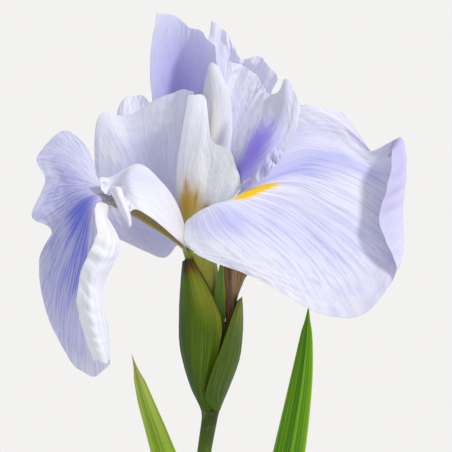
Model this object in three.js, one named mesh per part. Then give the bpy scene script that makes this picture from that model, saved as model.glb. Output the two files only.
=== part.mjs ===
// A single double-flowered garden iris in a plain tapered vase: stem, green spathes, petals, style arms
// and two sword leaves. Millimetres, +Z up, origin at the centre of the vase's foot; -Y is the front.
import * as THREE from 'three';

// Vase
const vaseHeight = 150;
const vaseFootRadius = 29;
const vaseBellyRadius = 39;
const vaseBellyHeight = 52;
const vaseMouthRadius = 22;
const vaseWall = 4;
const vaseFloor = 6;
const rimFlare = 1.5;
const lowerSwell = 1;
const upperSwell = 1.5;

// Stem: it crosses the mouth near one side and stands on the floor inside
const stemDiameter = 5.6;
const stemTopDiameter = 7.8;
const nodeAboveRim = 57;
const nodeX = -9.8;
const stemFootX = -4;
const stemBow = 3;

// Flower
const tubeLength = 64;
const tubeLean = -4.6;
const tubeLipHeight = 1.2;
const flowerWidth = 149;
const petalThickness = 1;
const spatheLength = 61;
const spatheThickness = 0.8;

// Leaves: rise of the tips above the rim, greatest widths and the thickness along the midrib
const leftLeafRise = 79;
const leftLeafWidth = 13;
const rightLeafRise = 99.5;
const rightLeafWidth = 13.5;
const leafThickness = 1.6;
const leftLeafFoot = [7, -9];
const rightLeafFoot = [2, 10];

// Clearances
const touchGap = 0.3;
const leafGap = 0.6;
const leafRimGap = 0.4;
const stemRimGap = 2.2;
const rightLeafDepthGap = 3.5;

// Widths and lengths that the control points below are drawn for
const drawnFlowerWidth = 149;
const drawnSpatheLength = 61;

const vaseSegments = 40;
const vaseSteps = 20;
const leafSides = 8;
const leafSteps = 22;
const leafFootShare = 0.75;
const taperedWidth = 5;
const thinnestShare = 0.5;
const rodSides = 12;
const rodSteps = 24;
const curveTension = 0.5;

const stemRadius = stemDiameter / 2;
const stemSwell = 1.15;
const thickStem = stemRadius * stemSwell;
const stemAtRimX = -(vaseMouthRadius - stemRadius - stemRimGap);
const leafBeside = thickStem + leafThickness / 2;
const nodeRadius = stemTopDiameter / 2;
const node = new THREE.Vector3(nodeX, 0, vaseHeight + nodeAboveRim);
const tubeTop = node.clone().add(new THREE.Vector3(tubeLean, 0, tubeLength));
const insideFloor = vaseFloor + touchGap;

// Sheets stand on rings one step apart, so that neighbours never touch whatever their thickness
const seatStep = petalThickness + touchGap;
const innerSeat = seatStep;
const middleSeat = 2.75 * seatStep;
const outerSeat = 4.3 * seatStep;
const backSeat = 4.5 * seatStep;
const spatheSeat = nodeRadius - spatheThickness / 2;
const bractSeat = spatheSeat - spatheThickness - touchGap;
const tubeBaseRadius = bractSeat - spatheThickness / 2 - touchGap;
const tubeTopRadius = outerSeat + petalThickness;

function smoothCurve(points) {
  return new THREE.CatmullRomCurve3(points, false, 'catmullrom', curveTension);
}

// The same through unevenly spaced points
function evenCurve(points) {
  return new THREE.CatmullRomCurve3(points, false, 'centripetal');
}

// Three numbers a point, measured from the origin given and scaled about it
function pointsFrom(numbers, origin, scale) {
  const points = [];
  for (let k = 0; k < numbers.length; k += 3) {
    points.push(new THREE.Vector3().fromArray(numbers, k).multiplyScalar(scale).add(origin));
  }
  return points;
}

function pointOnRing(centre, degrees, radius, lift) {
  const angle = THREE.MathUtils.degToRad(degrees);
  const reach = new THREE.Vector3(radius * Math.cos(angle), radius * Math.sin(angle), lift);
  return reach.add(centre);
}

function geometryFrom(points, triangles) {
  const geometry = new THREE.BufferGeometry();
  geometry.setAttribute('position', new THREE.Float32BufferAttribute(points.flatMap((p) => p.toArray()), 3));
  geometry.setIndex(triangles);
  geometry.computeVertexNormals();
  return geometry;
}

// Veins run from a seat on a ring to the margin. The seat is shared out evenly between the two ends given,
// each an angle in degrees and a radius.
function veinCurves(sheet, centre, scale, lift) {
  const last = sheet.veins.length - 1;
  return sheet.veins.map((numbers, k) => {
    const angle = THREE.MathUtils.lerp(sheet.from[0], sheet.to[0], k / last);
    const radius = THREE.MathUtils.lerp(sheet.from[1], sheet.to[1], k / last);
    return smoothCurve([pointOnRing(centre, angle, radius, lift), ...pointsFrom(numbers, centre, scale)]);
  });
}

function sheetPoint(veins, across, along) {
  return smoothCurve(veins.map((vein) => vein.getPoint(along))).getPoint(across);
}

function sheetNormal(veins, across, along) {
  const nudge = 0.01;
  const before = Math.max(along - nudge, 0);
  const after = Math.min(along + nudge, 1);
  const left = Math.max(across - nudge, 0);
  const right = Math.min(across + nudge, 1);
  const outward = sheetPoint(veins, across, after).sub(sheetPoint(veins, across, before));
  const sideways = sheetPoint(veins, right, along).sub(sheetPoint(veins, left, along));
  return outward.cross(sideways).normalize();
}

// A closed sheet of even thickness: two faces offset from the veins' surface and a wall round the edge
function sheetSolid(veins, thickness, acrossCells, alongCells) {
  const columns = acrossCells + 1;
  const points = [];
  for (const side of [0.5, -0.5]) {
    for (let i = 0; i <= alongCells; i += 1) {
      for (let j = 0; j <= acrossCells; j += 1) {
        const normal = sheetNormal(veins, j / acrossCells, i / alongCells);
        const middle = sheetPoint(veins, j / acrossCells, i / alongCells);
        points.push(middle.addScaledVector(normal, side * thickness));
      }
    }
  }
  const under = columns * (alongCells + 1);
  const triangles = [];
  for (let i = 0; i < alongCells; i += 1) {
    for (let j = 0; j < acrossCells; j += 1) {
      const a = i * columns + j;
      const b = a + columns;
      triangles.push(a, b, b + 1, a, b + 1, a + 1);
      triangles.push(under + a, under + b + 1, under + b, under + a, under + a + 1, under + b + 1);
    }
  }
  const edge = [];
  for (let i = 0; i < alongCells; i += 1) edge.push(i * columns);
  for (let j = 0; j < acrossCells; j += 1) edge.push(alongCells * columns + j);
  for (let i = alongCells; i > 0; i -= 1) edge.push(i * columns + acrossCells);
  for (let j = acrossCells; j > 0; j -= 1) edge.push(j);
  edge.forEach((a, k) => {
    const b = edge[(k + 1) % edge.length];
    triangles.push(under + a, under + b, b, under + a, b, a);
  });
  return geometryFrom(points, triangles);
}

// Skins a row of rings, each running anticlockwise seen from the far end, and closes both ends
function loftSolid(rings) {
  const sides = rings[0].length;
  const points = rings.flat();
  const triangles = [];
  const middleOf = (ring) => ring.reduce((sum, p) => sum.add(p), new THREE.Vector3()).divideScalar(sides);
  for (let k = 0; k < rings.length - 1; k += 1) {
    for (let j = 0; j < sides; j += 1) {
      const next = (j + 1) % sides;
      const a = k * sides + j;
      const b = k * sides + next;
      triangles.push(a, b, b + sides, a, b + sides, a + sides);
    }
  }
  const first = points.push(middleOf(rings[0])) - 1;
  const last = points.push(middleOf(rings.at(-1))) - 1;
  const top = (rings.length - 1) * sides;
  for (let j = 0; j < sides; j += 1) {
    const next = (j + 1) % sides;
    triangles.push(first, next, j, last, top + j, top + next);
  }
  return geometryFrom(points, triangles);
}

// A round rod along an upright path, its radius worked out between stations of [place along, radius]
function roundRod(path, stations) {
  const places = stations.map(([place]) => place);
  const radii = new THREE.LinearInterpolant(places, stations.map(([, radius]) => radius), 1);
  const rings = [];
  const turns = Array.from({ length: rodSides }, (_, j) => (j * 360) / rodSides);
  for (let k = 0; k <= rodSteps; k += 1) {
    const centre = path.getPoint(k / rodSteps);
    const radius = radii.evaluate(k / rodSteps)[0];
    rings.push(turns.map((degrees) => pointOnRing(centre, degrees, radius, 0)));
  }
  return loftSolid(rings);
}

// Turned from one outline: foot, belly, shoulder, neck and a slightly flared, rounded rim
function vaseGeometry() {
  const neckRadius = vaseMouthRadius + vaseWall;
  const swellHeight = vaseBellyHeight * 0.38;
  const shoulderHeight = (vaseBellyHeight + vaseHeight) / 2;
  const neckHeight = vaseHeight * 0.9;
  const outline = new THREE.SplineCurve([
    new THREE.Vector2(vaseFootRadius, 0),
    new THREE.Vector2((vaseFootRadius + vaseBellyRadius) / 2 + lowerSwell, swellHeight),
    new THREE.Vector2(vaseBellyRadius, vaseBellyHeight),
    new THREE.Vector2((vaseBellyRadius + neckRadius) / 2 + upperSwell, shoulderHeight),
    new THREE.Vector2(neckRadius, neckHeight),
    new THREE.Vector2(neckRadius + rimFlare, vaseHeight - vaseWall / 2),
  ]);
  const outside = outline.getPoints(vaseSteps);
  const inside = outside.filter((p) => p.y > vaseFloor + vaseWall);
  const inner = inside.map((p) => new THREE.Vector2(p.x - vaseWall, p.y)).reverse();
  const lip = outside.at(-1);
  const rim = [45, 90, 135].map((degrees) => {
    const angle = THREE.MathUtils.degToRad(degrees);
    return new THREE.Vector2(Math.cos(angle) - 1, Math.sin(angle)).multiplyScalar(vaseWall / 2).add(lip);
  });
  const bottom = inner.at(-1).x;
  const floorEdge = new THREE.Vector2(bottom - vaseWall, vaseFloor);
  const foot = new THREE.Vector2(0, 0);
  const floorMiddle = new THREE.Vector2(0, vaseFloor);
  const profile = [foot, ...outside, ...rim, ...inner, floorEdge, floorMiddle];
  return new THREE.LatheGeometry(profile, vaseSegments).rotateX(Math.PI / 2);
}

// Petals and style arms, each drawn from the middle of the tube's top. The veins are given in order across
// the petal, and each runs x, y, z from the haft to the margin.
const petalSheets = {
  // Spreads to the right and the front, its end margin curled back over itself
  fall_right: {
    from: [297, outerSeat],
    to: [352, outerSeat],
    cells: [14, 12],
    veins: [
      [-4, -16, 12.5,  -6, -24, 8,  -5.5, -27.5, 4.5,  -3.5, -30, 2,  -0.5, -32, -0.8,  3, -33.5, -2.5],
      [0, -19, 16,  2.5, -27, 9,  8.5, -31.5, 3,  14.5, -34, -1.5,  19, -35.5, -5,  23.5, -37, -10.8],
      [6, -19, 19,  15, -26, 11.5,  27, -32, 2,  35, -35, -6,  40, -37, -13,  44, -38.5, -20.5],
      [11, -16, 20,  28, -19, 16.5,  45, -27.5, 4,  54, -32, -7,  58.5, -34.5, -15,  62, -36, -22.5],
      [15, -12, 21.5,  36, -12, 25.5,  55.5, -20, 16.5,  71, -25, 5,  78, -28, -1,  76, -33, -6],
      [17, -7.5, 21.5,  39.5, -6, 32,  60, -12, 28,  75.5, -16, 19,  80, -23, 16,  70.5, -32, 11],
      [17.5, -4, 24.5,  39.5, 0, 37.5,  58.5, -5, 37,  74, -9, 32.5,  81.5, -18, 30.5,  72.5, -28, 25.5],
      [19, -1.5, 25.5,  38, 6, 42,  55, 3, 43.5,  69, -3, 40,  80, -12, 43,  75, -18.5, 40.5],
      [20.5, 1, 26.5,  36, 11, 45.5,  48, 9.5, 49,  59.5, 6.5, 47,  66, 4, 45.5,  71.5, -1, 37.5],
      [21.5, 3, 27,  32, 17, 47.5,  37, 20, 54,  42, 21, 57.5,  49.5, 19, 56.5,  58.5, 16, 54.5],
    ],
  },
  // Arches over to the left and hangs, its near margin rolled towards the front
  fall_left: {
    from: [163, outerSeat],
    to: [222, outerSeat],
    cells: [15, 14],
    veins: [
      [-15, 5, 11.5,  -28, 7, 20,  -38, 12, 25,  -41, 15, 28,  -42, 17, 31,  -43, 18, 34,  -45, 20, 39],
      [-15.5, 4, 11.5,  -28, 6, 20,  -39, 9, 25,  -43, 12, 30,  -47, 15, 36,  -50, 18, 41,  -55, 20, 47],
      [-15.5, 3.5, 11.5,  -28.5, 5, 19.5,  -39, 6, 25,  -46, 9, 29,  -53, 12, 34,  -60, 14, 36,  -66, 15, 36],
      [-15.5, 2.5, 11,  -29, 3.5, 19.5,  -40, 3, 24,  -47, 6, 26,  -54, 9, 27,  -58, 10, 27.5,  -62, 9, 27],
      [-15.5, 2, 10.5,  -29, 1.5, 19,  -41, 0, 23,  -49, 3, 22.5,
        -56, 6, 19,  -62, 6.5, 16.5,  -67.5, 6, 13],
      [-15.7, 1.5, 10.5,  -29.2, 0.5, 19,  -41, -3.5, 22.5,  -49.5, -1, 18.5,
        -55, 2, 13,  -57.8, 4, 10.5,  -60, 5, 7.5],
      [-16, 1, 10.5,  -29.5, -0.5, 19,  -41, -6, 22,  -50, -4, 15,  -56, -1, 8,  -60, 1, 1,  -64, 2, -6],
      [-16, 0, 10,  -30, -2.5, 18.5,  -41, -11, 20,  -49, -12, 8,
        -55, -10, -7,  -58, -7, -20,  -60, -5, -29],
      [-16, -1, 9.5,  -30, -4.5, 18,  -41, -15, 18,  -45, -19, 4,
        -48, -19, -13,  -50, -16, -29,  -50, -12, -45],
      [-16.5, -2, 9,  -30.5, -6.5, 17.5,  -39, -19, 17,  -41, -24, 3,
        -42, -26, -13,  -42, -24, -30,  -41, -20, -49],
      [-16.5, -3, 8.5,  -30.5, -8.5, 17,  -36, -22.5, 15.5,  -31, -28, 4,
        -37, -31, -13,  -35, -30, -29,  -34, -27, -43],
      [-16.5, -4, 8.5,  -30.5, -10, 17,  -36.8, -25.8, 16.8,  -34, -34, 4,
        -41, -37, -10,  -40, -37, -28,  -36, -33, -42],
      [-17, -5, 8,  -31, -11.5, 16.5,  -40, -28, 20,  -40, -35, 8,
        -46, -35.5, -6,  -47, -36, -22,  -41, -33, -42],
    ],
  },
  // Stands away at the back
  fall_back: {
    from: [46, backSeat],
    to: [80, backSeat],
    cells: [8, 9],
    veins: [
      [11, 24, 16.5,  21.5, 40, 38.5,  28, 46, 56.5,  32.5, 44, 68],
      [8, 27, 18.5,  16.5, 46, 44,  21.5, 52, 63.5,  25, 50, 77],
      [5, 29, 19,  11.5, 50, 48,  15.5, 55, 67,  17, 53, 76],
      [2, 30, 19,  5.5, 51, 51,  8.5, 53, 74.5,  11, 51, 87.5],
      [-0.5, 30, 18,  1, 49, 51,  2.5, 49, 76,  5, 47, 92],
    ],
  },
  // A shorter one beside it
  petal_behind: {
    from: [98, backSeat],
    to: [124, backSeat],
    cells: [6, 8],
    veins: [
      [-8, 36, 20,  -17.5, 56, 41.5,  -19.5, 64, 55.5],
      [-11.5, 38, 22,  -24.5, 58, 45,  -25.5, 68, 60.5],
      [-15, 38, 19.5,  -31, 57, 42.5,  -33, 66, 57.5],
      [-18.5, 36, 15.5,  -36, 52, 32,  -38.5, 62, 45.5],
    ],
  },
  // Broad and upright on the left, with a lobe that hangs below the style arm
  standard_left: {
    from: [170, middleSeat],
    to: [146, 3.25 * seatStep],
    cells: [12, 9],
    veins: [
      [-7.5, 5, 15.5,  -7.5, 10, 31.5,  -4.5, 16, 47.5,  -2, 19, 63],
      [-9.5, 8, 16.5,  -11, 15, 33,  -10.5, 21, 49.5,  -8, 26, 63.5],
      [-12, 11, 16,  -16, 19, 32.5,  -18, 26, 48,  -16, 30, 60],
      [-13.5, 12, 14.5,  -21, 20, 28,  -26, 27, 43,  -29.5, 31, 53],
      [-14.5, 13, 11,  -24, 20, 20.5,  -35, 27, 38,  -41.5, 30, 52],
      [-13, 11, 7,  -24, 18, 13.5,  -35.5, 23, 18.5,  -43, 26, 26],
      [-10.5, 10, 3.5,  -19, 17, 4.5,  -30.5, 20, 6.5,  -40.5, 24, 13],
      [-8, 9, 1.5,  -14, 15, -4.5,  -22.5, 18, -2,  -32.5, 21, 2.5],
    ],
  },
  // Cupped and tallest of all
  standard_top: {
    from: [84, middleSeat],
    to: [114, middleSeat],
    cells: [8, 10],
    veins: [
      [2.5, 19, 23,  5.5, 29, 47,  7, 29, 67.5,  6, 27, 81],
      [-0.5, 24, 22.5,  0, 37, 46.5,  1.5, 37, 69,  2, 33, 86],
      [-4.5, 27, 22.5,  -6.5, 42, 46.5,  -7, 42, 71,  -5, 37, 90],
      [-7.5, 26, 21.5,  -13, 40, 46.5,  -14, 36, 73.5,  -11.5, 31, 94.5],
      [-9.5, 24, 20,  -17.5, 36, 46.5,  -20, 24, 73.5,  -16.5, 18, 94.5],
    ],
  },
  // Narrow, behind the upright style arm
  standard_right: {
    from: [30, 3.1 * seatStep],
    to: [58, 2.95 * seatStep],
    cells: [6, 9],
    veins: [
      [12.5, 11, 23.5,  20.5, 18, 39,  25.5, 21, 50.5,  29, 23, 58.5],
      [9.5, 15, 26.5,  16, 25, 46.5,  20.5, 29, 57.5,  25.5, 30, 66.5],
      [7, 17, 28,  11.5, 28, 51,  14.5, 32, 64,  19, 33, 73],
      [5, 17, 28,  8, 26, 52,  10, 30, 65.5,  12, 32, 75.5],
    ],
  },
  // Inner petal at the front: a tall narrow part, a notch and a low rounded lobe on the right
  petaloid_front: {
    from: [235, 1.25 * seatStep],
    to: [292, 2.85 * seatStep],
    cells: [10, 9],
    veins: [
      [-7.3, 2, 13.5,  -9.2, 5.5, 24.5,  -8.2, 11, 39.5,  -4.4, 15, 62],
      [-3.5, -1, 14.5,  -2.5, 0, 26.5,  0, 7, 41.5,  2.5, 15, 60.5],
      [0, -3.5, 14.5,  2, -4, 23.5,  4, 1, 34,  5, 7, 44],
      [3, -5, 13.5,  6, -7, 22.5,  9, -6, 31.5,  12, -3, 40],
      [4.5, -5, 13,  8, -7, 19.5,  11.5, -9, 25.5,  14, -9, 32.5],
      [5, -5, 11,  8.5, -7, 16,  11.5, -8.5, 19.5,  14.5, -10, 24],
    ],
  },
  // Style arm arched over the left fall
  style_left: {
    from: [198, 2.55 * seatStep],
    to: [238, 3.1 * seatStep],
    cells: [8, 11],
    veins: [
      [-8.5, -1, 18,  -16.5, 5, 28.5,  -24.5, 6, 34,  -35, 4, 29.5,  -39.5, 0, 30],
      [-10, -4, 18.5,  -19, 1, 29.5,  -26, 0, 33.5,  -35.5, -2, 26,  -41.5, -6, 25],
      [-10.5, -7, 16.5,  -19.5, -6, 27,  -27.5, -7, 30.5,  -33, -9, 24.5,  -36.5, -15, 21.5],
      [-11, -9.5, 12,  -18.5, -12, 20,  -25.5, -14.5, 24.5,  -29.5, -15.5, 21.5,  -31, -19, 18.5],
      [-10.5, -11, 6,  -16.5, -15, 11.5,  -21, -18, 15.5,  -25, -19.5, 16.5,  -27, -21.5, 15],
    ],
  },
  // Upright style arm in the middle
  style_back: {
    from: [40, innerSeat],
    to: [130, innerSeat],
    cells: [6, 9],
    veins: [
      [7, 6, 21.5,  13, 15, 43.5,  12.5, 19, 59.5,  8, 23, 72.5],
      [5, 5.5, 23.5,  9, 13, 43.5,  9.5, 18, 59.5,  6.5, 21, 74],
      [3, 5.5, 23.5,  4.5, 13, 43.5,  5.5, 18.5, 59.5,  4.5, 21, 74.5],
      [1, 7.5, 23,  0.5, 17, 43.5,  1, 21.5, 59.5,  3.5, 22, 72.5],
    ],
  },
  // Style arm with two crest lobes over the right fall
  style_right: {
    from: [322, 2.15 * seatStep],
    to: [368, 2.3 * seatStep],
    cells: [8, 10],
    veins: [
      [11.5, -4, 20.5,  27, -16, 32.5,  37, -14, 45.5,  40.5, -8, 57],
      [11, -4, 22,  25, -13, 39,  34, -9, 53,  35.5, -2, 69],
      [10.5, -4, 22.5,  21, -8, 39.5,  27.5, -4, 51.5,  30.5, 1, 62.5],
      [9, -2.5, 24,  17.5, -3, 40,  23, 1, 53,  27, 5, 62.5],
      [7.5, -1, 25,  13, 1, 40,  18.5, 5, 55,  24.5, 8, 64],
    ],
  },
};

// Spathes and bracts, drawn from the middle of the stem's top
const greenSheets = {
  // Front-left valve, folded round the tube
  spathe_outer: {
    from: [95, spatheSeat],
    to: [276, spatheSeat],
    cells: [10, 10],
    veins: [
      [-4.5, 6, 7.5,  -6.5, 9, 23,  -7.5, 8, 36,  -9, 6, 48.5,  -11, 3, 59],
      [-8, 1, 9,  -12, 1, 23.5,  -12.5, 1, 36,  -12, 1, 48,  -11, -1, 59.5],
      [-6, -6, 9,  -8, -9, 25,  -8.5, -9, 37.5,  -9.5, -7, 48.5,  -10, -5, 60.5],
      [-3, -7.5, 9.5,  -1.5, -10.5, 25,  -1.5, -10.5, 37,  -5, -8.5, 49,  -9, -6, 61],
      [-0.5, -6.5, 9.5,  3.5, -9, 25,  4.5, -9, 36,  0, -7.5, 48.5,  -7.5, -6, 61],
    ],
  },
  // Right valve, its near edge lapped over the other's foot
  spathe_inner: {
    from: [292, spatheSeat],
    to: [442, spatheSeat],
    cells: [10, 10],
    veins: [
      [-2, -9, 5.5,  0.2, -11.8, 15,  5, -12.2, 28,  11.2, -8, 45],
      [1.8, -8.8, 7.5,  5, -11.4, 17.5,  8.8, -11, 30,  12, -6.5, 45.3],
      [5.6, -5.8, 8.5,  9.5, -7, 19,  11.8, -5.5, 32,  12.5, -3.5, 45.5],
      [7.6, 0, 9.5,  11.5, 0.5, 21,  12.7, 1, 33,  12.5, 0.5, 45],
      [6, 5, 9.5,  8.5, 7, 22,  10, 7, 33,  11, 4.5, 43.5],
      [2, 7.5, 9,  3, 9.5, 21,  5, 9.5, 31,  8, 7, 41],
    ],
  },
  // Narrow pointed bract between the valves and the tube
  bract_inner: {
    from: [262, bractSeat],
    to: [314, bractSeat],
    cells: [4, 9],
    veins: [
      [-1, -4.2, 10,  -0.5, -5, 24.5,  0.5, -5.5, 40.5,  2.8, -5.6, 54,  4, -5.2, 59.5],
      [1, -4.1, 10,  3, -4.5, 24.5,  4, -5, 40.5,  4.5, -5, 52.5,  4.5, -5, 60],
      [2.7, -3.2, 9.5,  4.5, -3.5, 23.5,  6, -4, 39.5,  5.5, -5, 52.5,  5, -5, 59.5],
    ],
  },
  // Dry bract that stands out above the right valve
  bract_withered: {
    from: [330, bractSeat],
    to: [400, bractSeat],
    cells: [5, 9],
    veins: [
      [3.5, -2, 10,  6, -2.3, 26,  5.4, -2.4, 42.5,  4, -2.8, 58],
      [4.5, 1.5, 9.5,  9, 0, 26,  9.4, -1.4, 42,  10.5, -3.6, 60],
      [3.5, 4.5, 9,  7.3, 4.3, 25.5,  9.8, 3.6, 41.5,  16, 0.4, 56.5],
    ],
  },
};

// Leaf stations from the tip down to the rim: share of the rise, x, share of the depth at the rim, and
// share of the width
const leftLeafStations = [
  [1, -41.5, 0, 0.06],
  [0.92, -39.7, 0, 0.21],
  [0.85, -38, 0, 0.37],
  [0.74, -35.3, 0, 0.54],
  [0.63, -32.2, 0.1, 0.66],
  [0.5, -28.6, 0.5, 0.79],
  [0.25, -21.5, 1, 0.94],
];
const rightLeafStations = [
  [1, 29.5, 0, 0.09],
  [0.96, 29.3, 0, 0.16],
  [0.82, 28.2, 0.05, 0.46],
  [0.67, 26.4, 0.15, 0.7],
  [0.4, 22, 0.4, 0.96],
  [0.2, 18, 0.75, 1],
];

// Where a leaf crosses the rim at depth y, its outer edge leafRimGap short of the mouth's wall
function rimPlace(side, width, y) {
  const reach = Math.sqrt((vaseMouthRadius - leafRimGap) ** 2 - y ** 2) - width / 2;
  return new THREE.Vector3(side * reach, y, vaseHeight);
}

// A long flat-sided blade from the vase's floor through the mouth to its tip
function leafGeometry(leaf) {
  const stations = leaf.stations.map(([share, x, depthShare, widthShare]) => ({
    place: new THREE.Vector3(x, depthShare * leaf.atRim.y, vaseHeight + share * leaf.rise),
    width: new THREE.Vector3(widthShare * leaf.width, 0, 0),
  }));
  stations.push({ place: leaf.atRim, width: new THREE.Vector3(leaf.width, 0, 0) });
  stations.push({ place: leaf.foot, width: new THREE.Vector3(leaf.width * leafFootShare, 0, 0) });
  stations.reverse();
  const path = evenCurve(stations.map((station) => station.place));
  const widths = smoothCurve(stations.map((station) => station.width));
  const rings = [];
  for (let k = 0; k <= leafSteps; k += 1) {
    const centre = path.getPoint(k / leafSteps);
    const width = widths.getPoint(k / leafSteps).x;
    const thickness = leafThickness * THREE.MathUtils.clamp(width / taperedWidth, thinnestShare, 1);
    rings.push(Array.from({ length: leafSides }, (_, j) => {
      const angle = (j * 2 * Math.PI) / leafSides;
      const offset = new THREE.Vector3(width * Math.cos(angle), thickness * Math.sin(angle), 0);
      return offset.divideScalar(2).add(centre);
    }));
  }
  return loftSolid(rings);
}

// Bows towards the mouth's wall, leans back above the rim and thickens up to the node
function stemGeometry() {
  const path = evenCurve([
    new THREE.Vector3(stemFootX, 0, insideFloor),
    new THREE.Vector3(stemAtRimX + stemBow, 0, vaseHeight * 0.7),
    new THREE.Vector3(stemAtRimX, 0, vaseHeight),
    new THREE.Vector3(-2.6, 0, -18).add(node),
    new THREE.Vector3(-0.3, 0, -3.5).add(node),
    node,
  ]);
  return roundRod(path, [[0, stemRadius], [0.6, stemRadius], [0.8, thickStem], [1, nodeRadius]]);
}

// Narrow above the node, then opening into a funnel that leans over and carries the petals on its lip
function tubeGeometry() {
  const base = node.clone().add(new THREE.Vector3(0, 0, touchGap));
  const length = tubeLength - touchGap;
  const along = (share, leanShare) => new THREE.Vector3(tubeLean * leanShare, 0, length * share).add(base);
  const path = smoothCurve([base, along(0.37, 0.22), along(0.68, 0.36), tubeTop]);
  const neck = 2.6;
  const ovary = 3.8;
  const waist = 4.2;
  const funnel = 6.1;
  const throat = 6.2;
  const lipShare = 1 - tubeLipHeight / length;
  const stations = [
    [0, tubeBaseRadius],
    [0.15, neck],
    [0.36, ovary],
    [0.6, waist],
    [0.85, funnel],
    [lipShare, throat],
    [1, tubeTopRadius],
  ];
  return roundRod(path, stations);
}

const group = new THREE.Group();

function addPiece(name, geometry, color, roughness) {
  const mesh = new THREE.Mesh(geometry, new THREE.MeshStandardMaterial({ color, roughness, metalness: 0 }));
  mesh.name = name;
  group.add(mesh);
}

const leftLeaf = {
  stations: leftLeafStations,
  rise: leftLeafRise,
  width: leftLeafWidth,
  atRim: rimPlace(-1, leftLeafWidth, -(leafBeside + leafGap)),
  foot: new THREE.Vector3(...leftLeafFoot, insideFloor),
};
const rightLeaf = {
  stations: rightLeafStations,
  rise: rightLeafRise,
  width: rightLeafWidth,
  atRim: rimPlace(1, rightLeafWidth, leafBeside + rightLeafDepthGap),
  foot: new THREE.Vector3(...rightLeafFoot, insideFloor),
};

addPiece('vase', vaseGeometry(), 0xe9e4da, 0.35);
addPiece('stem', stemGeometry(), 0x6f8f3a, 0.55);
addPiece('leaf_left', leafGeometry(leftLeaf), 0x5f9a2a, 0.5);
addPiece('leaf_right', leafGeometry(rightLeaf), 0x5f9a2a, 0.5);
addPiece('floral_tube', tubeGeometry(), 0x87892c, 0.55);

const greenColours = {
  spathe_outer: 0x5a7a22,
  spathe_inner: 0x6a8042,
  bract_inner: 0x7a9a3a,
  bract_withered: 0x86693f,
};
Object.entries(greenSheets).forEach(([name, sheet]) => {
  const scale = spatheLength / drawnSpatheLength;
  const lift = touchGap + spatheThickness / 2;
  const veins = veinCurves(sheet, node, scale, lift);
  addPiece(name, sheetSolid(veins, spatheThickness, ...sheet.cells), greenColours[name], 0.55);
});

Object.entries(petalSheets).forEach(([name, sheet]) => {
  const scale = flowerWidth / drawnFlowerWidth;
  const lift = touchGap + petalThickness / 2;
  const veins = veinCurves(sheet, tubeTop, scale, lift);
  addPiece(name, sheetSolid(veins, petalThickness, ...sheet.cells), 0xe6e2f7, 0.6);
});

export default group;
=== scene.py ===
import bpy
import numpy as np
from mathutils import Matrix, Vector


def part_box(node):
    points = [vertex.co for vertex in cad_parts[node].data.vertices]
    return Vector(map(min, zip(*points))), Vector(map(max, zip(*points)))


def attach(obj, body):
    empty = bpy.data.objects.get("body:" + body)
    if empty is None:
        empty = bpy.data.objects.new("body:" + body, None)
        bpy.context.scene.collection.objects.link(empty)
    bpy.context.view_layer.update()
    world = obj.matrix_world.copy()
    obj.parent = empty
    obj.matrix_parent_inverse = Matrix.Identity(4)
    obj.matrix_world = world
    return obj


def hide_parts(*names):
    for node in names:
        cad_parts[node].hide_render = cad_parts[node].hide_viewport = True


# Lengths are millimetres until they reach a mesh, a light or the camera.
mm = 0.001
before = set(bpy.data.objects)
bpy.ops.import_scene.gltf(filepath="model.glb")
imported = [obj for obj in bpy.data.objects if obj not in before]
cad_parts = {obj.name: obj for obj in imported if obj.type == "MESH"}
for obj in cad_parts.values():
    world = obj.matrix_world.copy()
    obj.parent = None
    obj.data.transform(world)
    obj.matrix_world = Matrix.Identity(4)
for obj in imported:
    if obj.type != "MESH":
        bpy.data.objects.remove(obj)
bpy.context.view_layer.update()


def tone(red, green, blue):
    # a colour given on the screen's scale of 255, as the linear colour a shader takes
    shade = np.array([red, green, blue]) / 255
    linear = np.where(shade <= 0.04045, shade / 12.92, ((shade + 0.055) / 1.055) ** 2.4)
    return (*linear.tolist(), 1.0)


def ease(x):
    # 0 below 0, 1 above 1 and 3x^2 - 2x^3 between
    x = np.clip(x, 0, 1)
    return x * x * (3 - 2 * x)


def catmull(points, x):
    # smooth curve through evenly spaced points; x runs from 0 to 1 over their first axis
    points = np.asarray(points, float)
    spans = len(points) - 1
    padded = np.concatenate([[2 * points[0] - points[1]], points, [2 * points[-1] - points[-2]]])
    place = np.clip(np.asarray(x, float), 0, 1) * spans
    cell = np.minimum(place.astype(int), spans - 1)
    f = (place - cell).reshape((-1,) + (1,) * (points.ndim - 1))
    a, b, c, d = (padded[cell + k] for k in range(4))
    bend, twist = 2 * a - 5 * b + 4 * c - d, 3 * b - a - 3 * c + d
    return 0.5 * (2 * b + (c - a) * f + bend * f ** 2 + twist * f ** 3)


def through(knots, values, x):
    # smooth curve through values at uneven knots: a cubic between each two, sloped by its neighbours
    slope = np.gradient(values, knots, axis=0)
    cell = np.clip(np.searchsorted(knots, x) - 1, 0, len(knots) - 2)
    span = (knots[cell + 1] - knots[cell])[:, None]
    f = (x - knots[cell])[:, None] / span
    first, last = values[cell], values[cell + 1]
    bent = slope[cell] * span * f * (1 - f) ** 2 - slope[cell + 1] * span * f * f * (1 - f)
    return first + (last - first) * f * f * (3 - 2 * f) + bent


def normalsOf(grid):
    # the direction along t crossed with the direction across u, at length 1
    normal = np.cross(np.gradient(grid, axis=0), np.gradient(grid, axis=1))
    return normal / np.maximum(np.linalg.norm(normal, axis=2, keepdims=True), 1e-9)


def wander(seed, alongWaves, acrossWaves, shape):
    # smooth random field over the (t, u) grid: a coarse net of random heights, curved between
    net = np.random.default_rng(seed).uniform(-1, 1, (alongWaves + 2, acrossWaves + 2))
    down = catmull(net, np.linspace(0, 1, shape[0]))
    return catmull(down.T, np.linspace(0, 1, shape[1])).T


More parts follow.
